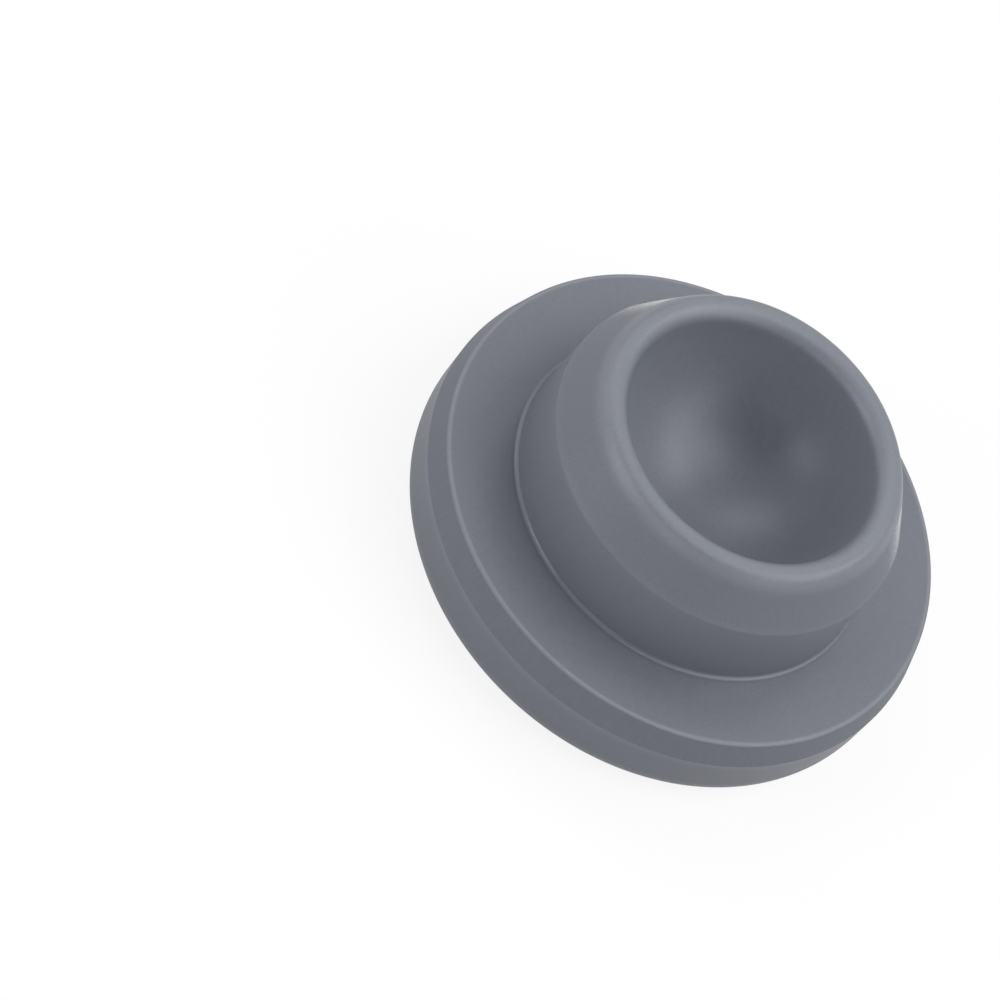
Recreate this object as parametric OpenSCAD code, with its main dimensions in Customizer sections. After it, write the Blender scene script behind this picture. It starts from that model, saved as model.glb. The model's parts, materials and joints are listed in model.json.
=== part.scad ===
// Stopper for a serum vial with a 20 mm crimp neck, moulded in one piece of grey butyl rubber.
// It stands on its marked outer face with the plug upwards. The axis of the stopper is +Z, and
// z = 0 is the level that the raised marks stand on. All sizes are in millimetres.

/* [Flange] */
// Outer diameter of the flange, at the ridge where the trimmed band ends
flange_d = 19; // [18.4:0.1:20]
// Thickness of the flange, from its outer face to the face that seals on the vial
flange_h = 3.45; // [3.2:0.05:4]
// Radius of the rounding at the rim of the outer face
outer_edge_r = 1.1; // [0.5:0.05:1.4]
// How far the side wall narrows between the ridge and the rounding
wall_draft = 0.05; // [0.02:0.01:0.15]
// Height of the band that the trimming knife leaves beside the sealing face
trim_h = 1.05; // [0.5:0.05:1.25]
// How far the trimmed band slopes inwards at the sealing face
trim_slope = 0.25; // [0.1:0.05:0.5]
// Radius of the fine rounding where the trimmed band meets the sealing face
seal_edge_r = 0.1; // [0.05:0.01:0.25]

/* [Plug] */
// Diameter of the straight neck that is pressed into the vial
plug_d = 13.2; // [12.8:0.1:14]
// Length of the straight neck, from the sealing face
neck_h = 3; // [2:0.1:3.8]
// Length of the plug, from the sealing face to the crest of its lip
plug_h = 5.05; // [4.8:0.05:5.8]
// Radius of the fine fillet between the neck and the sealing face
root_fillet_r = 0.15; // [0.05:0.01:0.3]
// Radius of the soft shoulder between the neck and the lead-in cone
shoulder_r = 0.2; // [0.05:0.05:0.5]
// How far the lead-in cone leans inwards from the axis, in degrees
cone_lean = 26.5; // [20:0.5:32]

/* [Lip] */
// Radius of the gentle curve between the lead-in cone and the lip
lip_ease_r = 2.5; // [1:0.1:3]
// How far that curve turns, in degrees
lip_ease_turn = 9.5; // [3:0.5:14]
// Radius of the lip on the side of the lead-in cone
lip_outer_r = 0.4; // [0.25:0.05:0.6]
// Radius of the lip on the side of the bowl
lip_inner_r = 0.57; // [0.3:0.01:0.7]

/* [Bowl] */
// Thickness of the rubber left under the bowl, where the needle goes through
floor_h = 3.7; // [3.5:0.05:4.4]

/* [Marks on the outer face] */
// Height of the raised marks
mark_h = 0.15; // [0.05:0.01:0.3]
// Outer diameter of the target ring
ring_d = 4.55; // [3.6:0.05:6]
// Width of the target ring
ring_w = 0.5; // [0.3:0.05:0.9]
// Number of bars around the ring
bar_count = 4; // [3:1:8]
// Width of each bar, which is also the diameter of its round ends
bar_w = 0.6; // [0.3:0.05:0.9]
// Distance from the axis to the inner end of a bar
bar_start = 4.15; // [3.2:0.05:5]
// Distance from the axis to the outer end of a bar
bar_end = 7.55; // [6:0.05:7.8]

/* [Hidden] */
$fn = 96;
rubber = "#767a82";

flange_r = flange_d / 2;
plug_r = plug_d / 2;

// Levels above the surface that the stopper stands on
outer_face_z = mark_h;
seal_z = outer_face_z + flange_h;
ridge_z = seal_z - trim_h;
neck_top_z = seal_z + neck_h;
crest_z = seal_z + plug_h;
floor_z = outer_face_z + floor_h;

// Centre of the rounding at the shoulder, whose arc is tangent to the neck and to the cone
shoulder_centre = [plug_r - shoulder_r, neck_top_z - shoulder_r * tan(cone_lean / 2)];

// The lip: a cone, a gentle curve and two roundings follow each other without a corner, so the
// height that the curves take is known, and the cone is as long as the rest of the plug leaves it
lip_lean = cone_lean + lip_ease_turn;
lip_outer_rise = lip_outer_r * (1 - sin(lip_lean));
lip_ease_rise = lip_ease_r * (sin(lip_lean) - sin(cone_lean));
cone_top_z = crest_z - lip_outer_rise - lip_ease_rise;
cone_top = [plug_r - (cone_top_z - neck_top_z) * tan(cone_lean), cone_top_z];
lip_ease_centre = cone_top - lip_ease_r * facing(cone_lean);
lip_ease_top = lip_ease_centre + lip_ease_r * facing(lip_lean);
lip_centre = lip_ease_top - lip_outer_r * facing(lip_lean);
crest_r = lip_centre.x;

// The bowl is a ball that touches both its floor and the inner rounding of the lip
lip_inner_centre = [crest_r, crest_z - lip_inner_r];
bowl_depth = crest_z - floor_z;
lip_above_floor = lip_inner_centre.y - floor_z;
bowl_r = (pow(crest_r, 2) + pow(lip_above_floor, 2) - pow(lip_inner_r, 2)) / (2 * bowl_depth);
bowl_centre = [0, floor_z + bowl_r];
bowl_touch = bowl_centre + bowl_r * (lip_inner_centre - bowl_centre) / (bowl_r + lip_inner_r);

// Centre of the rounding at the rim of the outer face
edge_centre = [flange_r - wall_draft - outer_edge_r, outer_face_z + outer_edge_r];

// The trimmed band is a shallow cone that runs up from the ridge to the sealing face
ridge = [flange_r, ridge_z];
trim_angle = atan(trim_slope / trim_h);
seal_edge_centre = [
    flange_r - trim_slope - seal_edge_r * (1 - sin(trim_angle)) / cos(trim_angle),
    seal_z - seal_edge_r
];
seal_edge_touch = seal_edge_centre + seal_edge_r * [cos(trim_angle), sin(trim_angle)];

// Unit step away from a surface that is tipped up by an angle
function facing(lean) = [cos(lean), sin(lean)];

// Where a straight line from a point touches a circle: side 1 turns left of the centre, -1 right
function touch_point(from, centre, r, side) =
    let (
        away = centre - from,
        reach = norm(away),
        angle = atan2(away.y, away.x) + side * asin(r / reach)
    )
    from + sqrt(reach * reach - r * r) * [cos(angle), sin(angle)];

wall_touch = touch_point(ridge, edge_centre, outer_edge_r, 1);

module disc_at(centre, r) {
    translate(centre) circle(r = r);
}

// Half section of the flange: rounded outer rim, drafted wall, ridge and trimmed band
module flange_section() {
    polygon([
        [0, outer_face_z],
        [edge_centre.x, outer_face_z],
        wall_touch,
        ridge,
        seal_edge_touch,
        [seal_edge_centre.x, seal_z],
        [0, seal_z]
    ]);
    disc_at(edge_centre, outer_edge_r);
    disc_at(seal_edge_centre, seal_edge_r);
}

// Slice of a disc between two directions, both given as angles from the outside upwards
module arc_slice(centre, r, from, to) {
    reach = r / cos((to - from) / 2);
    intersection() {
        disc_at(centre, r);
        polygon([centre, centre + reach * facing(from), centre + reach * facing(to)]);
    }
}

// Half section of the plug: straight neck, soft shoulder, lead-in cone and round lip, with the
// fillet at its root
module plug_section() {
    polygon([
        [0, seal_z - root_fillet_r],
        [plug_r, seal_z - root_fillet_r],
        [plug_r, shoulder_centre.y],
        shoulder_centre + shoulder_r * facing(cone_lean),
        cone_top,
        lip_ease_top,
        [crest_r, crest_z],
        [0, crest_z]
    ]);
    arc_slice(shoulder_centre, shoulder_r, 0, cone_lean);
    arc_slice(lip_ease_centre, lip_ease_r, cone_lean, lip_lean);
    disc_at(lip_centre, lip_outer_r);
    difference() {
        translate([plug_r - root_fillet_r, seal_z - root_fillet_r])
            square([2 * root_fillet_r, 2 * root_fillet_r]);
        disc_at([plug_r + root_fillet_r, seal_z + root_fillet_r], root_fillet_r);
    }
}

// Half section of the mouth: from where the ball leaves off, along the inner rounding of the lip
module mouth_section() {
    difference() {
        polygon([
            [0, bowl_touch.y],
            bowl_touch,
            lip_inner_centre,
            [crest_r, crest_z + lip_inner_r],
            [0, crest_z + lip_inner_r]
        ]);
        disc_at(lip_inner_centre, lip_inner_r);
    }
}

module flange_and_plug() {
    color(rubber)
        rotate_extrude() {
            flange_section();
            plug_section();
        }
}

// The bowl: the lower part of a ball, opening without a corner into the round lip
module bowl() {
    color(rubber) {
        intersection() {
            translate([0, 0, bowl_centre.y]) sphere(r = bowl_r);
            cylinder(r = bowl_r, h = bowl_touch.y);
        }
        rotate_extrude() mouth_section();
    }
}

// The target ring, which shows where the needle goes in
module target_ring() {
    color(rubber)
        difference() {
            cylinder(d = ring_d, h = 2 * mark_h);
            translate([0, 0, -mark_h]) cylinder(d = ring_d - 2 * ring_w, h = 4 * mark_h);
        }
}

// One raised bar with round ends, along +X
module bar() {
    round_r = bar_w / 2;
    color(rubber)
        linear_extrude(2 * mark_h) {
            translate([bar_start + round_r, -round_r]) square([bar_end - bar_start - bar_w, bar_w]);
            disc_at([bar_start + round_r, 0], round_r);
            disc_at([bar_end - round_r, 0], round_r);
        }
}

module marks() {
    target_ring();
    for (i = [0 : bar_count - 1]) {
        rotate([0, 0, i * 360 / bar_count]) bar();
    }
}

module stopper() {
    difference() {
        flange_and_plug();
        bowl();
    }
    marks();
}

stopper();
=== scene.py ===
# %% [markdown]
# # A rubber stopper for a serum vial
# The stopper is one moulding of grey butyl rubber: a wide flange that seals on the rim of the
# vial, and a hollow plug that is pressed into its neck. It stands on its marked outer face, with
# the plug upwards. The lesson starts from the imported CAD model, because that fixes the place and
# the size of everything, and the mesh that is modelled here has to fill the same box.

import json
import math

import bmesh
import bpy
from mathutils import Matrix, Vector

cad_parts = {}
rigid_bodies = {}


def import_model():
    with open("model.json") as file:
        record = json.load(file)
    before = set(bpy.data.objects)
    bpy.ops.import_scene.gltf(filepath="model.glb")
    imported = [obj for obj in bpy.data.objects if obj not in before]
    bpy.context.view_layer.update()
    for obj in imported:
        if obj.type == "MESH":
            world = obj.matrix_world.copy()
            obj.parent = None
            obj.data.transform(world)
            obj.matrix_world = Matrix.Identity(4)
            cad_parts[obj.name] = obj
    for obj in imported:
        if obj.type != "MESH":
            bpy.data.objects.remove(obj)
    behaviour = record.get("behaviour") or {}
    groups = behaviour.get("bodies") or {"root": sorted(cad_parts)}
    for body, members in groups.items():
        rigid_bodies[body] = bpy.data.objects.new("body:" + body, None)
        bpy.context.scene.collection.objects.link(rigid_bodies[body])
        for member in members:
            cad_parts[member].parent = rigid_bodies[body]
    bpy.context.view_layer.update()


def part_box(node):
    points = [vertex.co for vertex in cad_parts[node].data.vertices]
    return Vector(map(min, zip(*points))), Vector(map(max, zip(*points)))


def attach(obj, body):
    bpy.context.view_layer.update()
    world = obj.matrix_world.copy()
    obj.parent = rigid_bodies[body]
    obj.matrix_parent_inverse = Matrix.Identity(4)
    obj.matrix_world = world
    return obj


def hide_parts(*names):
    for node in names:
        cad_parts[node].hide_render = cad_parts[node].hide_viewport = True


MM = 0.001                  # metres in a millimetre

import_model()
stopper_low, stopper_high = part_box("stopper")
print("CAD box in mm:", [round(s / MM, 3) for s in stopper_high - stopper_low])

# %% [markdown]
# ## The camera
# A small part is pictured with a long lens from a little under half a metre, so circles show as
# clean ellipses and the far rim is hardly smaller than the near one. The camera looks down on the
# sealing face at about 50 degrees and is turned about its own line of sight, which leans the
# stopper's axis to the right. Its place is worked out from those angles, because typed coordinates
# would tell a reader nothing.

# %% Camera
CAMERA_HEIGHT = math.radians(49.64)     # above the sealing face
CAMERA_ROLL = math.radians(41.73)       # about the line of sight
CAMERA_DISTANCE = 0.440                 # metres to the level of the sealing face
CAMERA_ASIDE = (0.006557, -0.00027)     # from the line of sight to the middle of the sealing face
LENS_MM, SENSOR_MM = 462, 36
NEAREST, FURTHEST = 0.01, 20            # metres between which the camera sees
SEALING_LEVEL = 0.0036                  # metres above the marks


def camera_axes(height, roll):
    """Right, up and back of a camera that looks along +Y, tipped down and then rolled."""
    back = Vector((0, -math.cos(height), math.sin(height)))
    level_right = Vector((1, 0, 0))
    level_up = back.cross(level_right)
    right = math.cos(roll) * level_right + math.sin(roll) * level_up
    return right, back.cross(right), back


right, up, back = camera_axes(CAMERA_HEIGHT, CAMERA_ROLL)
camera = bpy.data.objects.new("camera", bpy.data.cameras.new("camera"))
bpy.context.scene.collection.objects.link(camera)
camera.data.lens, camera.data.sensor_width = LENS_MM, SENSOR_MM
camera.data.clip_start, camera.data.clip_end = NEAREST, FURTHEST
camera.rotation_euler = Matrix((right, up, back)).transposed().to_euler()
camera.location = (
    Vector((0, 0, SEALING_LEVEL)) + CAMERA_DISTANCE * back
    - CAMERA_ASIDE[0] * right - CAMERA_ASIDE[1] * up
)
bpy.context.scene.camera = camera
print("camera stands at", [round(c, 4) for c in camera.location])

# %% [markdown]
# ## Sizes of the moulding
# The sizes are the mould's own, in millimetres, measured from the axis and from the level that
# the raised marks stand on. Everything is modelled in millimetres and shrunk to metres at the end,
# since a rounding of a tenth of a millimetre is close to the smallest step that some of Blender's
# mesh tools accept when they work in metres.

# %% Mould sizes
MARK = 0.15                 # the raised marks stand this far out of the outer face
SEAL = 3.6                  # level of the sealing face
FLANGE_R, RIDGE = 9.5, 2.55             # the widest circle of the flange and its level
RIM_R, RIM_ROUND = 8.35, 1.1            # where the rounding of the rim starts, and its radius
RIDGE_ROUND = 0.12          # the ridge isn't quite sharp
TRIM_SLOPE, SEAL_ROUND = 0.25, 0.1      # how far the trimmed band leans in, its upper rounding
NECK_R, SHOULDER = 6.6, 6.6             # radius of the plug, and the level where its cone starts
ROOT_ROUND, SHOULDER_ROUND = 0.15, 0.2
CREST, BOWL_FLOOR = 8.65, 3.85          # levels of the top of the lip and the floor of the bowl
CONE_LEAN = 26.5            # degrees between the lead-in cone and the axis
LIP_EASE_R, LIP_EASE = 2.5, 9.5         # radius and turn of the gentle curve between cone and lip
LIP_OUTER, LIP_INNER = 0.4, 0.57        # radii on both sides of the crest
print("flange", 2 * FLANGE_R, "mm wide, plug", 2 * NECK_R, "mm wide, height", CREST, "mm")

# %% [markdown]
# ## Drawing with a pen
# A moulded body of revolution is drawn as half a section, the way a mould maker turns it. The pen
# below starts as one vertex. A straight stretch extrudes that vertex and moves it, and a rounding
# spins it about the centre of the rounding, so every curve is a true arc of the radius it names.
# A bevel would round the corners as well, but its arcs are only exact at square corners.


# %% The pen
def pen_start(mesh, r, z):
    """The first vertex of a half section, at radius r and level z."""
    return bmesh.ops.create_vert(mesh, co=(r, 0, z))["vert"][0]


def pen_line(mesh, pen, r, z, stops=(1.0,)):
    """A straight stretch to (r, z), with a vertex at each of the given shares of its length."""
    start, end = pen.co.copy(), Vector((r, 0, z))
    for share in stops:
        made = bmesh.ops.extrude_vert_indiv(mesh, verts=[pen])
        pen = made["verts"][0]
        pen.co = start.lerp(end, share)
    return pen


def pen_arc(mesh, pen, r, z, turn, steps):
    """An arc about (r, z): a positive turn runs from the outside of the rounding upwards."""
    made = bmesh.ops.spin(
        mesh, geom=[pen], cent=(r, 0, z), axis=(0, -1, 0), dvec=(0, 0, 0),
        angle=math.radians(turn), steps=steps, use_merge=False, use_duplicate=False,
    )
    return next(g for g in made["geom_last"] if isinstance(g, bmesh.types.BMVert))


def tangent_angle(r, z, centre, radius, side):
    """Where a line from (r, z) touches a circle, as degrees about its centre.

    Two lines do, so side is 1 or -1 for the one or the other.
    """
    right_of, above = r - centre[0], z - centre[1]
    away, reach = math.atan2(above, right_of), math.hypot(right_of, above)
    return math.degrees(away + side * math.acos(radius / reach))


trim_lean = math.degrees(math.atan(TRIM_SLOPE / (SEAL - RIDGE)))
wall_touch = tangent_angle(FLANGE_R, RIDGE, (RIM_R, MARK + RIM_ROUND), RIM_ROUND, -1)
print("trimmed band leans", round(trim_lean, 1), "deg; the wall leaves the rim at",
      round(wall_touch, 2), "deg")

# %% [markdown]
# ## Rounded corners for the pen
# Where a straight stretch meets another one, the mould has a small cutter radius. The pen stops
# short of the corner, turns about a centre beside its path, and goes on. Vertices close to both
# ends of every stretch keep it truly flat when it is shaded smooth: without them the tilt of the
# rounding's normals would spread across the whole flat.

# %% Pen with guarded flats and rounded corners
GUARD = 0.03                # mm from the end of a flat to the vertex that keeps it flat


def pen_flat(mesh, pen, r, z):
    """A straight stretch with a guard vertex near each end."""
    length = (Vector((r, 0, z)) - pen.co).length
    if length < 3 * GUARD:
        return pen_line(mesh, pen, r, z)
    return pen_line(mesh, pen, r, z, stops=(GUARD / length, 1 - GUARD / length, 1.0))


def pen_corner(mesh, pen, r, z, turn, radius, steps=6):
    """A stretch towards the corner (r, z), rounded off there: a positive turn is convex."""
    corner = Vector((r, 0, z))
    heading = (corner - pen.co).normalized()
    side = math.copysign(1, turn)
    before = corner - heading * radius * math.tan(math.radians(abs(turn)) / 2)
    centre = before + Vector((-heading.z, 0, heading.x)) * radius * side
    pen = pen_flat(mesh, pen, before.x, before.z)
    return pen_arc(mesh, pen, centre.x, centre.z, turn, steps)


def pen_turn(mesh, pen, lean, radius, turn, steps):
    """A convex arc that goes on smoothly from a surface whose normal is tipped up by lean."""
    normal = Vector((math.cos(math.radians(lean)), 0, math.sin(math.radians(lean))))
    centre = pen.co - radius * normal
    return pen_arc(mesh, pen, centre.x, centre.z, turn, steps)


print("a flat is guarded", GUARD, "mm from its ends")

# %% [markdown]
# ## The half section of the flange
# The section runs from the outer face round the rim, up the wall to the ridge where the stopper
# was cut out of its moulded sheet, up the trimmed band and over the sealing face to the root of
# the plug. The outer face itself is left open here, because bars are let into it later.

# %% Draw the flange
RIM_INSIDE = RIM_R - 0.05   # the outer face is filled up to this radius

section = bmesh.new()
pen = pen_start(section, RIM_INSIDE, MARK)
pen = pen_line(section, pen, RIM_R, MARK)
pen = pen_arc(section, pen, RIM_R, MARK + RIM_ROUND, 90 + wall_touch, steps=18)
pen = pen_corner(section, pen, FLANGE_R, RIDGE, trim_lean - wall_touch, RIDGE_ROUND, steps=4)
lean = math.radians(trim_lean)
# the centre of the rounding between the trimmed band and the sealing face
edge_r = FLANGE_R - TRIM_SLOPE - SEAL_ROUND * math.tan(math.radians(45 - trim_lean / 2))
edge_z = SEAL - SEAL_ROUND
pen = pen_flat(
    section, pen, edge_r + SEAL_ROUND * math.cos(lean), edge_z + SEAL_ROUND * math.sin(lean),
)
pen = pen_arc(section, pen, edge_r, edge_z, 90 - trim_lean, steps=6)
pen = pen_corner(section, pen, NECK_R, SEAL, -90, ROOT_ROUND, steps=6)
print("flange:", len(section.verts), "vertices, up to", [round(c, 3) for c in pen.co], "mm")

# %% [markdown]
# ## The half section of the plug
# The plug has a straight neck, a soft shoulder and a lead-in cone that finds the mouth of the
# vial. From the cone over the lip to the bowl one arc follows another without a corner, as on a
# form that a die maker has polished. So the cone is as long as the arcs leave it, and the bowl is
# the one ball that touches both its floor and the inner rounding of the lip.

# %% Draw the plug and its bowl
cone_lean, lip_lean = math.radians(CONE_LEAN), math.radians(CONE_LEAN + LIP_EASE)
ease_rise = LIP_EASE_R * (math.sin(lip_lean) - math.sin(cone_lean))
lip_rise = LIP_OUTER * (1 - math.sin(lip_lean))
cone_rise = CREST - SHOULDER - lip_rise - ease_rise
cone_top_r = NECK_R - cone_rise * math.tan(cone_lean)

pen = pen_corner(section, pen, NECK_R, SHOULDER, CONE_LEAN, SHOULDER_ROUND, steps=4)
pen = pen_flat(section, pen, cone_top_r, SHOULDER + cone_rise)
pen = pen_turn(section, pen, CONE_LEAN, LIP_EASE_R, LIP_EASE, steps=5)
pen = pen_turn(section, pen, CONE_LEAN + LIP_EASE, LIP_OUTER, 90 - CONE_LEAN - LIP_EASE, steps=8)
crest_r, lip_above = pen.co.x, CREST - LIP_INNER - BOWL_FLOOR
bowl_r = (crest_r ** 2 + lip_above ** 2 - LIP_INNER ** 2) / (2 * (CREST - BOWL_FLOOR))
mouth_lean = math.degrees(math.acos(crest_r / (bowl_r + LIP_INNER)))
pen = pen_turn(section, pen, 90, LIP_INNER, 90 - mouth_lean, steps=10)
pen = pen_arc(section, pen, 0, BOWL_FLOOR + bowl_r, mouth_lean - 90, steps=40)
pen.co.x = 0
print("crest at radius", round(crest_r, 3), "| bowl of radius", round(bowl_r, 3),
      "whose wall leans", round(mouth_lean, 1), "deg at the mouth")
print("half section:", len(section.verts), "vertices; it ends at",
      [round(c, 3) + 0.0 for c in pen.co], "mm")

# %% [markdown]
# ## Spinning the body
# A lathe turns the section once round the axis, and so does Blender's spin. With use_merge the
# last copy is welded to the first. The vertex on the axis is copied at every step, so doubles are
# merged afterwards, which closes the floor of the bowl in one pole.

# %% Spin the body
AROUND = 240                # steps of a full turn
MERGE_WITHIN = 0.0005       # mm: vertices closer than this become one


def turn_full(mesh, steps=AROUND):
    """Spins all of a half section once round the axis and closes the seam and the pole."""
    bmesh.ops.spin(
        mesh, geom=mesh.verts[:] + mesh.edges[:], cent=(0, 0, 0), axis=(0, 0, 1), dvec=(0, 0, 0),
        angle=math.tau, steps=steps, use_merge=True, use_duplicate=False,
    )
    bmesh.ops.remove_doubles(mesh, verts=mesh.verts[:], dist=MERGE_WITHIN)
    return mesh


body = turn_full(section)
print("body:", len(body.verts), "vertices,", len(body.faces), "faces")

# %% [markdown]
# ## The target ring
# The ring shows where the needle goes through. It is raised a little out of the outer face, and it
# is spun like the body, together with the round middle of the face that it encloses. The mould's
# cutter leaves a fillet at its foot, and its top edges are slightly rounded.

# %% Spin the ring and the middle of the face
RING_IN, RING_OUT = 1.775, 2.275        # radii of the ring's two sides
FOOT_ROUND, TOP_ROUND = 0.05, 0.09      # fillet at the foot of a mark, rounding of its top

ring = bmesh.new()
pen = pen_start(ring, 0, MARK)
pen = pen_corner(ring, pen, RING_IN, MARK, -90, FOOT_ROUND)
pen = pen_corner(ring, pen, RING_IN, 0, 90, TOP_ROUND)
pen = pen_corner(ring, pen, RING_OUT, 0, 90, TOP_ROUND)
pen = pen_corner(ring, pen, RING_OUT, MARK, -90, FOOT_ROUND)
pen = pen_line(ring, pen, RING_OUT + FOOT_ROUND + GUARD, MARK)
turn_full(ring)
print("ring:", len(ring.faces), "faces, lowest level",
      round(min(v.co.z for v in ring.verts), 4), "mm")

# %% [markdown]
# ## The four bars
# Each bar is a slot with round ends that was milled into the mould. Its outline is drawn with the
# same two pen moves, this time about the vertical axis. The filled outline is then inset again and
# again: with a depth each inset becomes one step of the fillet, the side or the rounded top. One
# bar is enough, because a spin with use_duplicate sets its copies round the axis.

# %% Outline of a bar
BAR_START, BAR_END = 4.15, 7.55         # distances from the axis
BAR_WIDE, BAR_COUNT = 0.6, 4


def round_end(mesh, pen, x, steps=12):
    """Half a turn of the outline round the end of a slot centred at (x, 0)."""
    made = bmesh.ops.spin(
        mesh, geom=[pen], cent=(x, 0, MARK), axis=(0, 0, 1), dvec=(0, 0, 0),
        angle=math.pi, steps=steps, use_merge=False, use_duplicate=False,
    )
    return next(g for g in made["geom_last"] if isinstance(g, bmesh.types.BMVert))


reach = BAR_WIDE / 2 + FOOT_ROUND + GUARD
near_x, far_x = BAR_START + BAR_WIDE / 2, BAR_END - BAR_WIDE / 2
bars = bmesh.new()
pen = first = bmesh.ops.create_vert(bars, co=(far_x, -reach, MARK))["vert"][0]
pen = round_end(bars, pen, far_x)
pen = bmesh.ops.extrude_vert_indiv(bars, verts=[pen])["verts"][0]
pen.co.x = near_x
pen = round_end(bars, pen, near_x)
bars.edges.new((pen, first))
slot = bmesh.ops.contextual_create(bars, geom=bars.edges[:])["faces"][0]
slot.normal_update()
if slot.normal.z > 0:
    slot.normal_flip()
print("bar outline:", len(bars.verts), "vertices, facing", [round(c) for c in slot.normal])


# %% Raise the bar
def raise_steps(steps=6):
    """(inset, depth) of each step from the foot of a mark to its flat top."""
    quarter = [math.radians(90 * k / steps) for k in range(steps + 1)]
    foot = [(FOOT_ROUND * math.sin(a), FOOT_ROUND * (1 - math.cos(a))) for a in quarter]
    top = [(TOP_ROUND * (1 - math.cos(a)), TOP_ROUND * math.sin(a)) for a in quarter]
    side = MARK - FOOT_ROUND - TOP_ROUND
    path = foot + [(FOOT_ROUND + i, FOOT_ROUND + side + d) for i, d in top]
    return [(b[0] - a[0], b[1] - a[1]) for a, b in zip(path, path[1:])]


for inset, depth in [(GUARD, 0), *raise_steps(), (GUARD, 0)]:
    bmesh.ops.inset_region(
        bars, faces=[slot], thickness=inset, depth=depth, use_even_offset=True, use_boundary=True,
    )
print("one bar:", len(bars.faces), "faces, lowest level",
      round(min(v.co.z for v in bars.verts), 4), "mm")

# %% Copy the bar round the axis
bmesh.ops.spin(
    bars, geom=bars.verts[:] + bars.edges[:] + bars.faces[:], cent=(0, 0, 0), axis=(0, 0, 1),
    dvec=(0, 0, 0), angle=math.tau * (BAR_COUNT - 1) / BAR_COUNT, steps=BAR_COUNT - 1,
    use_merge=False, use_duplicate=True,
)
print(BAR_COUNT, "bars:", len(bars.faces), "faces")

# %% [markdown]
# ## Welding the parts into one skin
# The moulding is one piece of rubber, so the mesh is one closed skin too. The body, the ring and
# the bars all end in open loops that lie in the outer face. A triangle fill spans the face between
# those loops and leaves the bars' places open, so every loop is shared and nothing overlaps. A
# Boolean union would give the same form, but with slivers along each cut.


# %% Join and fill the outer face
def take_in(mesh, other):
    """Adds another bmesh to this one and frees it."""
    carrier = bpy.data.meshes.new("carrier")
    other.to_mesh(carrier)
    other.free()
    mesh.from_mesh(carrier)
    bpy.data.meshes.remove(carrier)


take_in(body, ring)
take_in(body, bars)
open_edges = [e for e in body.edges if e.is_boundary]
bmesh.ops.triangle_fill(
    body, use_beauty=True, use_dissolve=False, edges=open_edges, normal=(0, 0, -1),
)
bmesh.ops.remove_doubles(body, verts=body.verts[:], dist=MERGE_WITHIN)
bmesh.ops.recalc_face_normals(body, faces=body.faces[:])
print("open edges filled:", len(open_edges), "| still open:",
      sum(e.is_boundary for e in body.edges),
      "| volume", round(body.calc_volume(), 1), "cubic mm")

# %% [markdown]
# ## From millimetres to a Blender object
# The finished skin is shrunk to metres and given to an object that stays at the origin, unturned
# and unscaled, so its place is in its mesh as a CAD node's is. All faces are shaded smooth: the
# small roundings are real, so no edge has to be marked sharp. The trimmed band gets a material of
# its own, since a knife made that surface and not the mould.

# %% Make the stopper
MOULDED, TRIMMED = 0, 1                 # the two material slots
TRIM_INSIDE = 9.2                       # mm: the trimmed band lies outside this radius

bmesh.ops.scale(body, vec=(MM, MM, MM), verts=body.verts[:])


def is_trimmed(face):
    """True for the faces of the band between the ridge and the sealing face."""
    middle = face.calc_center_median() / MM
    outside = math.hypot(middle.x, middle.y) > TRIM_INSIDE
    return outside and RIDGE < middle.z < SEAL - SEAL_ROUND / 2


for face in body.faces:
    face.smooth = True
    face.material_index = TRIMMED if is_trimmed(face) else MOULDED
trimmed_faces = sum(face.material_index == TRIMMED for face in body.faces)
stopper = bpy.data.objects.new("stopper_rubber", bpy.data.meshes.new("stopper_rubber"))
body.to_mesh(stopper.data)
body.free()
bpy.context.scene.collection.objects.link(stopper)
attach(stopper, "root")
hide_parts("stopper")
print("stopper:", len(stopper.data.polygons), "faces, of which", trimmed_faces, "trimmed")

# %% [markdown]
# ## Grain that two finishes share
# The mould was eroded by sparks, which leaves shallow pits less than a tenth of a millimetre
# across, and the knife leaves a rougher surface. Both are one effect with other numbers, so it is
# a node group: two sizes of noise make a height for the Bump node and a mask for the roughness. It
# reads Object coordinates, turned into millimetres so that the scales can be read as grains per
# millimetre.

# %% Node helpers
NUMBER = "NodeSocketFloat"
PER_METRE = 1 / MM


def new_node(tree, kind, inputs=(), **settings):
    """Adds a node, sets its properties, and fills or links the inputs that are given."""
    node = tree.nodes.new(kind)
    for name, value in settings.items():
        setattr(node, name, value)
    for name, value in dict(inputs).items():
        if isinstance(value, bpy.types.NodeSocket):
            tree.links.new(value, node.inputs[name])
        else:
            node.inputs[name].default_value = value
    return node


def calculate(tree, operation, a, b=0.0):
    """The result of a Math node."""
    return new_node(tree, "ShaderNodeMath", {0: a, 1: b}, operation=operation).outputs[0]


def scaled(tree, vector, scale):
    """A vector or a colour times a number."""
    inputs = {0: vector, "Scale": scale}
    return new_node(tree, "ShaderNodeVectorMath", inputs, operation="SCALE").outputs[0]


def millimetres(tree):
    """Object coordinates in millimetres."""
    return scaled(tree, tree.nodes.new("ShaderNodeTexCoord").outputs["Object"], PER_METRE)


def noise(tree, place, scale, detail, roughness=0.5):
    """The value of a Noise Texture, with its scale in grains per millimetre."""
    inputs = {"Vector": place, "Scale": scale, "Detail": detail, "Roughness": roughness}
    return new_node(tree, "ShaderNodeTexNoise", inputs).outputs["Fac"]


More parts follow.
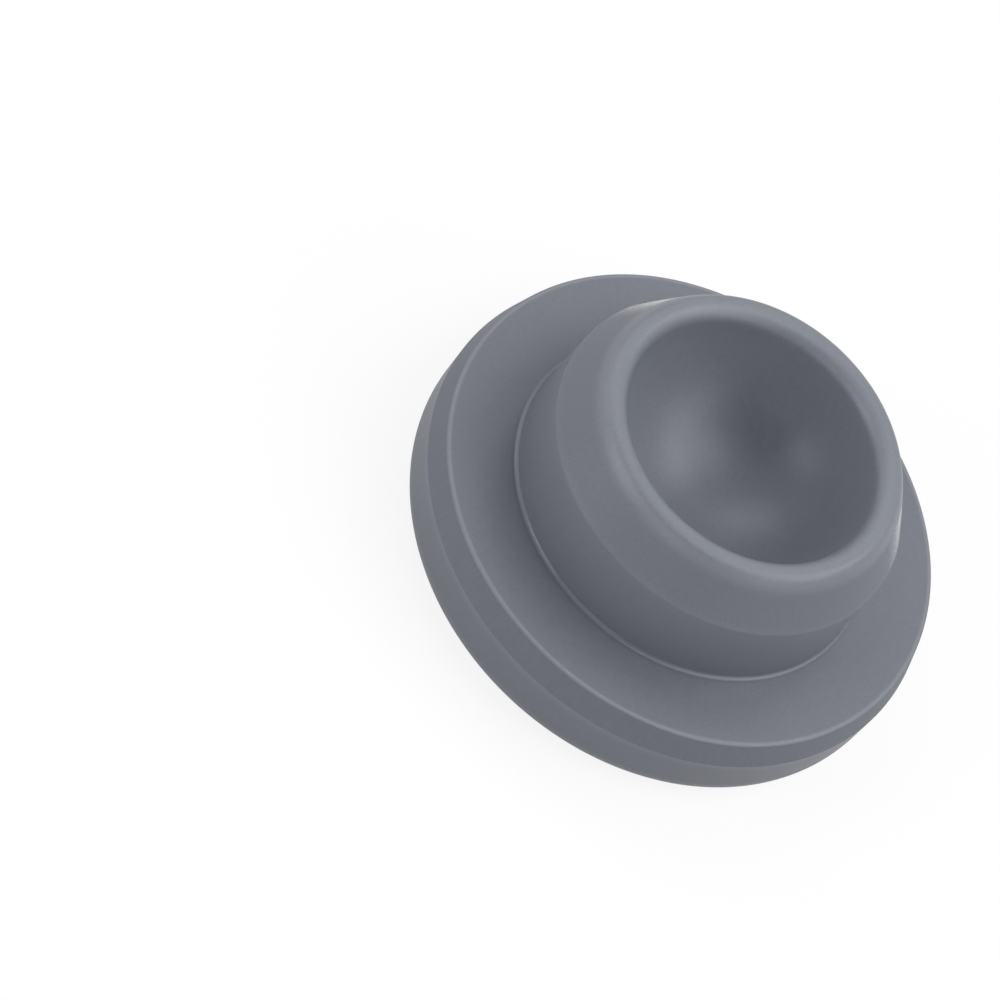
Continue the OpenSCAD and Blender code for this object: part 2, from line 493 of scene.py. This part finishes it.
def new_group(name, inputs, outputs):
    """An empty shader group with named numbers as its inputs and outputs."""
    tree = bpy.data.node_groups.new(name, "ShaderNodeTree")
    for label, value in inputs.items():
        socket = tree.interface.new_socket(label, in_out="INPUT", socket_type=NUMBER)
        socket.default_value = value
    for label in outputs:
        tree.interface.new_socket(label, in_out="OUTPUT", socket_type=NUMBER)
    return tree, tree.nodes.new("NodeGroupInput"), tree.nodes.new("NodeGroupOutput")


print("materials count", PER_METRE, "millimetres to the metre")

# %% The grain group
MIX_A, MIX_B = 2, 3         # the number sockets of a Mix node, which has several named A and B

grain, given, out = new_group(
    "mould_grain", {"Fine per mm": 14.0, "Coarse per mm": 4.0, "Coarse share": 0.35},
    ("Height", "Mask"),
)
place = millimetres(grain)
fine = noise(grain, place, given.outputs["Fine per mm"], detail=2.0, roughness=0.6)
coarse = noise(grain, place, given.outputs["Coarse per mm"], detail=3.0, roughness=0.55)
height = new_node(
    grain, "ShaderNodeMix", {0: given.outputs["Coarse share"], MIX_A: fine, MIX_B: coarse},
).outputs[0]
grain.links.new(height, out.inputs["Height"])
grain.links.new(coarse, out.inputs["Mask"])
print("group", grain.name, "has", len(grain.nodes), "nodes")

# %% [markdown]
# ## Rings on a turned body
# On a body of revolution every edge is a circle, so a place on it is known by its distance from
# the axis and its level. The group below makes a soft mask round such a circle: full as far as
# Core, then fading until Width. Round the edge of the sealing face it lets the rubber be a little
# paler, a painted highlight where the small rounding catches the light, and round the root of the
# plug it paints shade into the corner. Round a point on the axis, where the circle has no radius,
# it covers a whole ball, and that is how the bowl gets a finish of its own. One material for each
# part would leave hard lines where they meet.


# %% The ring mask group
def remap(tree, value, before, after=(0.0, 1.0), **settings):
    """Carries a value from one span over to another and holds it at the ends."""
    spans = {"From Min": before[0], "From Max": before[1], "To Min": after[0], "To Max": after[1]}
    node = new_node(tree, "ShaderNodeMapRange", {"Value": value, **spans}, **settings)
    return node.outputs["Result"]


def distance(tree, a, b):
    """The distance that two legs at a right angle span."""
    squares = [calculate(tree, "MULTIPLY", leg, leg) for leg in (a, b)]
    return calculate(tree, "SQRT", calculate(tree, "ADD", *squares))


ring_mask, given, out = new_group(
    "ring_mask", {"Radius": FLANGE_R, "Level": SEAL, "Core": 0.0, "Width": 0.2}, ("Mask",),
)
split = new_node(ring_mask, "ShaderNodeSeparateXYZ", {0: millimetres(ring_mask)})
radius = distance(ring_mask, split.outputs["X"], split.outputs["Y"])
off_radius = calculate(ring_mask, "SUBTRACT", radius, given.outputs["Radius"])
off_level = calculate(ring_mask, "SUBTRACT", split.outputs["Z"], given.outputs["Level"])
fade = remap(
    ring_mask, distance(ring_mask, off_radius, off_level),
    (given.outputs["Core"], given.outputs["Width"]), (1.0, 0.0), interpolation_type="SMOOTHSTEP",
)
ring_mask.links.new(fade, out.inputs["Mask"])
print("group", ring_mask.name, "has", len(ring_mask.nodes), "nodes")

# %% [markdown]
# ## The greys of moulded rubber
# The grey of butyl rubber comes from carbon and titania mixed on a mill, which leaves slow drifts
# of tone, so two close greys are mixed by a slow noise. Each part of the mould leaves its own
# shade too. The polished pin makes the bowl paler, and the cone, the neck and the side wall are
# darker. The lip is paler along its crest, partly for its polished skin and partly as a painted
# highlight. The narrow fillet at the root of the plug is the darkest, which is painted shade in
# the corner, and the floor of the bowl is painted darker as shade at the bottom of the hollow.
# The edge of the sealing face is the palest, a painted highlight where its small rounding catches
# the light. Painted vertices could hold those shades as well, but ring masks keep their edges at
# an exact radius and level.

# %% Material helpers
COLOUR_A, COLOUR_B, COLOUR_OUT = 6, 7, 2        # the colour sockets of a Mix node


def new_material(name):
    """A material with nothing but its output and a Principled BSDF."""
    material = bpy.data.materials.new(name)
    material.use_nodes = True
    tree = material.node_tree
    tree.nodes.clear()
    shader = tree.nodes.new("ShaderNodeBsdfPrincipled")
    new_node(tree, "ShaderNodeOutputMaterial", {"Surface": shader.outputs[0]})
    return material, tree, shader


def mix_colour(tree, share, a, b):
    """The colour between a and b."""
    inputs = {0: share, COLOUR_A: a, COLOUR_B: b}
    return new_node(tree, "ShaderNodeMix", inputs, data_type="RGBA").outputs[COLOUR_OUT]


def mask_round(tree, radius, level, core, width):
    """The ring mask round a circle, given in millimetres."""
    inputs = {"Radius": radius, "Level": level, "Core": core, "Width": width}
    return new_node(tree, "ShaderNodeGroup", inputs, node_tree=ring_mask).outputs["Mask"]


moulded, tree, shader = new_material("moulded_rubber")
print("material", moulded.name, "starts with", [node.bl_label for node in tree.nodes])

# %% Colour of the moulded rubber
GREY = (0.181, 0.193, 0.228, 1)         # colours are linear red, green, blue and alpha
GREY_PALE = (0.202, 0.216, 0.254, 1)
DRIFTS_PER_MM = 0.35        # scale of the slow noise
NOISE_SPAN = (0.3, 0.7)     # where nearly all values of a noise lie
SPECKS = (0.92, 1.08)       # how far the grain darkens and lightens the grey
# zone: its grey, the strength of it, and (radius, level, core, width) of its ring mask
ZONES = {
    "cone": ((0.161, 0.174, 0.206, 1), 0.85, (6.2, 7.4, 0.55, 1.0)),
    "side wall": ((0.154, 0.166, 0.192, 1), 0.8, (9.5, 1.3, 0.8, 1.35)),
    # painted highlight: a pale line where the small rounding of the sealing face catches the light
    "sealing edge highlight": ((0.340, 0.358, 0.395, 1), 0.55, (9.16, 3.6, 0.0, 0.11)),
    "neck": ((0.169, 0.181, 0.211, 1), 0.8, (6.6, 5.2, 1.2, 1.7)),
    # painted shade: the corner at the root of the plug, where little light enters
    "root": ((0.125, 0.135, 0.160, 1), 0.45, (6.68, 3.66, 0.06, 0.22)),
    "bowl": ((0.220, 0.234, 0.271, 1), 1.0, (0.0, 8.6, 4.9, 5.5)),
    # paler along the crest of the lip: partly its polished skin, partly a painted highlight
    "lip": ((0.243, 0.260, 0.298, 1), 0.85, (5.25, 8.3, 0.3, 0.65)),
    # painted shade at the bottom of the bowl, where little light reaches
    "bowl floor shade": ((0.168, 0.176, 0.200, 1), 0.6, (0.0, 3.85, 0.3, 1.7)),
}

drift = noise(tree, millimetres(tree), DRIFTS_PER_MM, detail=3.0)
colour = mix_colour(tree, drift, GREY, GREY_PALE)
for grey, strength, ring_values in ZONES.values():
    share = calculate(tree, "MULTIPLY", mask_round(tree, *ring_values), strength)
    colour = mix_colour(tree, share, colour, grey)
pits = new_node(tree, "ShaderNodeGroup", node_tree=grain)
speck = remap(tree, pits.outputs["Height"], NOISE_SPAN, SPECKS)
tree.links.new(scaled(tree, colour, speck), shader.inputs["Base Color"])
stopper.data.materials.append(moulded)
print("colour of the moulded rubber:", len(ZONES), "zones,", len(tree.nodes), "nodes")

# %% [markdown]
# ## The gloss of moulded rubber
# Butyl rubber is matte but not dead: a broad, weak gloss lies on it, which the grain breaks up.
# The cone comes out of the mould coarser than the rest, the bowl and the fillet at the root come
# out smoother. The cone is also rubbed whenever a stopper is pushed out. Seen along its surface
# such rubber gleams, because only its rubbed tops are seen from there. A Layer Weight node gives
# that by lowering the roughness, and the pits are taken out of the bump to the same degree. A
# clear coat would give it a shine from all other sides too.

# %% Gloss and bump of the moulded rubber
ROUGHNESS = (0.37, 0.45)    # between the grain's finest and coarsest spots
# part: its change of roughness, and (radius, level, core, width) of its ring mask
FINISHES = {
    "cone": (0.12, (6.3, 7.3, 0.8, 1.1)),
    "fillet": (-0.08, (6.66, 3.66, 0.08, 0.2)),
    "bowl": (-0.025, (0.0, 8.6, 4.9, 5.3)),
}
GRAZING = (0.77, 0.89)      # Facing values between which the gleam of the cone grows
GLEAM = -0.43               # change of roughness in the full gleam
GRAIN_DEPTH, GRAIN_STRENGTH = 0.00001, 0.5      # metres from pit to top, and how much it counts


def add_bump(tree, shader, height):
    """Lets a height between 0 and 1 tilt the normals of a material."""
    inputs = {"Height": height, "Strength": GRAIN_STRENGTH, "Distance": GRAIN_DEPTH}
    bump = new_node(tree, "ShaderNodeBump", inputs)
    tree.links.new(bump.outputs["Normal"], shader.inputs["Normal"])


rough = remap(tree, pits.outputs["Mask"], NOISE_SPAN, ROUGHNESS)
masks = {}
for part, (change, ring_values) in FINISHES.items():
    masks[part] = mask_round(tree, *ring_values)
    rough = calculate(tree, "ADD", rough, calculate(tree, "MULTIPLY", masks[part], change))
facing = new_node(tree, "ShaderNodeLayerWeight", {"Blend": 0.5}).outputs["Facing"]
gleam = calculate(tree, "MULTIPLY", masks["cone"], remap(tree, facing, GRAZING))
rough = calculate(tree, "ADD", rough, calculate(tree, "MULTIPLY", gleam, GLEAM))
tree.links.new(rough, shader.inputs["Roughness"])
even = calculate(tree, "SUBTRACT", 1.0, gleam)
add_bump(tree, shader, calculate(tree, "MULTIPLY", pits.outputs["Height"], even))
print("moulded rubber:", len(FINISHES), "finishes,", len(tree.nodes), "nodes")

# %% [markdown]
# ## The trimmed band
# Stoppers are moulded side by side in a sheet and punched out of it. The punch leaves a band that
# is darker and rougher than the moulded skin, with fine drag lines that run the way the punch
# went. A noise that is stretched along the axis gives the lines, in the colour, the roughness and
# the bump. The pits of the bump come from the grain group again, with larger grains. An image of
# scratches could do the same, but it would need a UV map, and it would blur when seen close up.

# %% Trimmed rubber
CUT_GREY = (0.130, 0.142, 0.172, 1)
CUT_ROUGHNESS = (0.55, 0.65)
DRAG_STRETCH = (1.0, 1.0, 0.12)         # the noise runs this much slower along the axis
DRAGS_PER_MM = 6.0

trimmed, tree, shader = new_material("trimmed_rubber")
drag = new_node(tree, "ShaderNodeMapping", {"Vector": millimetres(tree), "Scale": DRAG_STRETCH})
lines = noise(tree, drag.outputs[0], DRAGS_PER_MM, detail=3.0)
tree.links.new(mix_colour(tree, lines, CUT_GREY, GREY), shader.inputs["Base Color"])
tree.links.new(remap(tree, lines, NOISE_SPAN, CUT_ROUGHNESS), shader.inputs["Roughness"])
pits = new_node(
    tree, "ShaderNodeGroup", {"Fine per mm": 10.0, "Coarse share": 0.5}, node_tree=grain,
)
add_bump(tree, shader, calculate(tree, "ADD", pits.outputs["Height"], lines))
stopper.data.materials.append(trimmed)
print("trimmed rubber:", len(tree.nodes), "nodes")

# %% [markdown]
# ## A light table
# Small parts are pictured on a white table that is lit from both sides, so the ground is white and
# the shadow is faint. The camera sees most of that white as glow, and the rest as a pale surface
# that takes the shadow. The gloss of the rubber sees less of the glow, because the table is in the
# stopper's own shade where the side wall mirrors it. Seen from below the table is clear, so that
# the marks on the outer face can be looked at too.

# %% The table
TABLE_HALF = 1.5                        # metres from its middle to its edge
TABLE_DROP = 0.00001                    # metres below the marks, so no two faces share a plane

table_mesh = bmesh.new()
bmesh.ops.create_grid(table_mesh, x_segments=2, y_segments=2, size=TABLE_HALF)
bmesh.ops.translate(table_mesh, verts=table_mesh.verts[:], vec=(0, 0, -TABLE_DROP))
table = bpy.data.objects.new("table", bpy.data.meshes.new("table"))
table_mesh.to_mesh(table.data)
table_mesh.free()
bpy.context.scene.collection.objects.link(table)
print("table:", len(table.data.polygons), "faces,", round(TABLE_DROP / MM, 3), "mm below the marks")

# %% White of the table
WHITE = (1, 1, 1, 1)
TABLE_WHITE, TABLE_ROUGHNESS = (0.86, 0.86, 0.86, 1), 0.9
GLOW_LEVEL = 1.08
TABLE_GLOW, TABLE_GLOSS = 0.8, 0.4      # share of glow that the camera and the gloss see


def seen_directly(tree, rays):
    """1 where a ray comes from the camera, also through something clear, and 0 elsewhere."""
    through = rays.outputs["Is Transmission Ray"]
    return calculate(tree, "MAXIMUM", rays.outputs["Is Camera Ray"], through)


white, tree, shader = new_material("table_white")
shader.inputs["Base Color"].default_value = TABLE_WHITE
shader.inputs["Roughness"].default_value = TABLE_ROUGHNESS
shader.inputs["Specular IOR Level"].default_value = 0.0
glow = new_node(tree, "ShaderNodeEmission", {"Color": WHITE, "Strength": GLOW_LEVEL})
rays = tree.nodes.new("ShaderNodeLightPath")
to_eye = calculate(tree, "MULTIPLY", seen_directly(tree, rays), TABLE_GLOW)
to_gloss = calculate(tree, "MULTIPLY", rays.outputs["Is Glossy Ray"], TABLE_GLOSS)
share = calculate(tree, "MAXIMUM", to_eye, to_gloss)
lit = new_node(tree, "ShaderNodeMixShader", {0: share, 1: shader.outputs[0], 2: glow.outputs[0]})
below = tree.nodes.new("ShaderNodeNewGeometry").outputs["Backfacing"]
clear = tree.nodes.new("ShaderNodeBsdfTransparent")
both = new_node(tree, "ShaderNodeMixShader", {0: below, 1: lit.outputs[0], 2: clear.outputs[0]})
tree.links.new(both.outputs[0], tree.get_output_node("ALL").inputs["Surface"])
table.data.materials.append(white)
print("white of the table:", len(tree.nodes), "nodes")

# %% [markdown]
# ## A white room that is open on one side
# The room is white to the eye and dim to the rubber, so that it is the lamps that shape it. The
# gloss mirrors the white walls, except on the near side, where the room is open: reflections fade
# there, and the surfaces that face that way keep their depth. A world has no walls, but it knows
# the direction of each ray, so the open side is a soft spot round one direction. A black screen on
# that side could do the same, but it would have to be kept out of every view.

# %% World
ROOM_LEVEL = 0.1                        # light of the room on the rubber, where 1 is white
OPEN_SIDE = (4, 32)                     # bearing and height of the middle of the open side
OPEN_CORE, OPEN_FADE = 15, 45           # degrees from there that it is fully open, and ends
OPEN_LEVEL = 0.1                        # share of the white that is left there


def direction_of(bearing, height):
    """Unit vector towards a bearing, turned to the right from the near side, and a height."""
    turn, lift = math.radians(bearing), math.radians(height)
    level = math.cos(lift)
    return Vector((math.sin(turn) * level, -math.cos(turn) * level, math.sin(lift)))


world = bpy.data.worlds.new("white_room")
bpy.context.scene.world = world
world.use_nodes = True
tree = world.node_tree
tree.nodes.clear()
way = tree.nodes.new("ShaderNodeTexCoord").outputs["Generated"]
towards = new_node(
    tree, "ShaderNodeVectorMath", {0: way, 1: direction_of(*OPEN_SIDE)}, operation="DOT_PRODUCT",
).outputs["Value"]
span = [math.cos(math.radians(angle)) for angle in (OPEN_FADE, OPEN_CORE)]
walls = remap(tree, towards, span, (1.0, OPEN_LEVEL), interpolation_type="SMOOTHSTEP")
rays = tree.nodes.new("ShaderNodeLightPath")
mirrored = calculate(tree, "MULTIPLY", rays.outputs["Is Glossy Ray"], walls)
seen = calculate(tree, "MAXIMUM", seen_directly(tree, rays), mirrored)
level = remap(tree, seen, (0.0, 1.0), (ROOM_LEVEL, 1.0))
room = new_node(tree, "ShaderNodeBackground", {"Color": WHITE, "Strength": level})
new_node(tree, "ShaderNodeOutputWorld", {"Surface": room.outputs[0]})
print("open side of the room towards", [round(c, 2) for c in direction_of(*OPEN_SIDE)])

# %% [markdown]
# ## Soft boxes
# Soft boxes stand in a ring round the table. The high ones stand behind the stopper and on both
# sides of it, the strongest behind and to the right, so the wall of the bowl is brightest opposite
# them and the lip shows as a pale band. The low ones light the side wall. Each box is wide for
# such a small part, so the edges of its light are soft. A bearing round the axis and a height say
# where it stands, and its location and its turn are worked out from those two angles.

# %% Lamps
BOX_DISTANCE, BOX_WIDE = 0.6, 0.35      # metres
# name: bearing from the near side, height above the table, watts
LAMPS = {
    "box_back": (136, 49, 0.78),
    "box_back_left": (198, 48, 0.36),
    "box_right_high": (80, 70, 0.52),
    "box_right": (99, 41, 0.68),
    "box_right_low": (70, 25, 0.36),
    "box_left": (240, 45, 0.56),
    "box_left_low": (267, 15, 0.31),
    "box_front_left": (315, 17, 0.95),
    "box_front": (0, 12, 0.52),
}

middle = Vector((0, 0, SEALING_LEVEL))
for name, (bearing, height, watts) in LAMPS.items():
    direction = direction_of(bearing, height)
    lamp = bpy.data.objects.new(name, bpy.data.lights.new(name, "AREA"))
    lamp.location = middle + BOX_DISTANCE * direction
    lamp.rotation_euler = direction.to_track_quat("Z", "Y").to_euler()
    lamp.data.shape, lamp.data.size, lamp.data.energy = "DISK", BOX_WIDE, watts
    bpy.context.scene.collection.objects.link(lamp)
    print(name, "at", [round(c, 3) for c in lamp.location])

# %% [markdown]
# ## Colours as written
# The Standard view shows a colour as it was written.

# %% Finish
bpy.context.scene.view_settings.view_transform = "Standard"
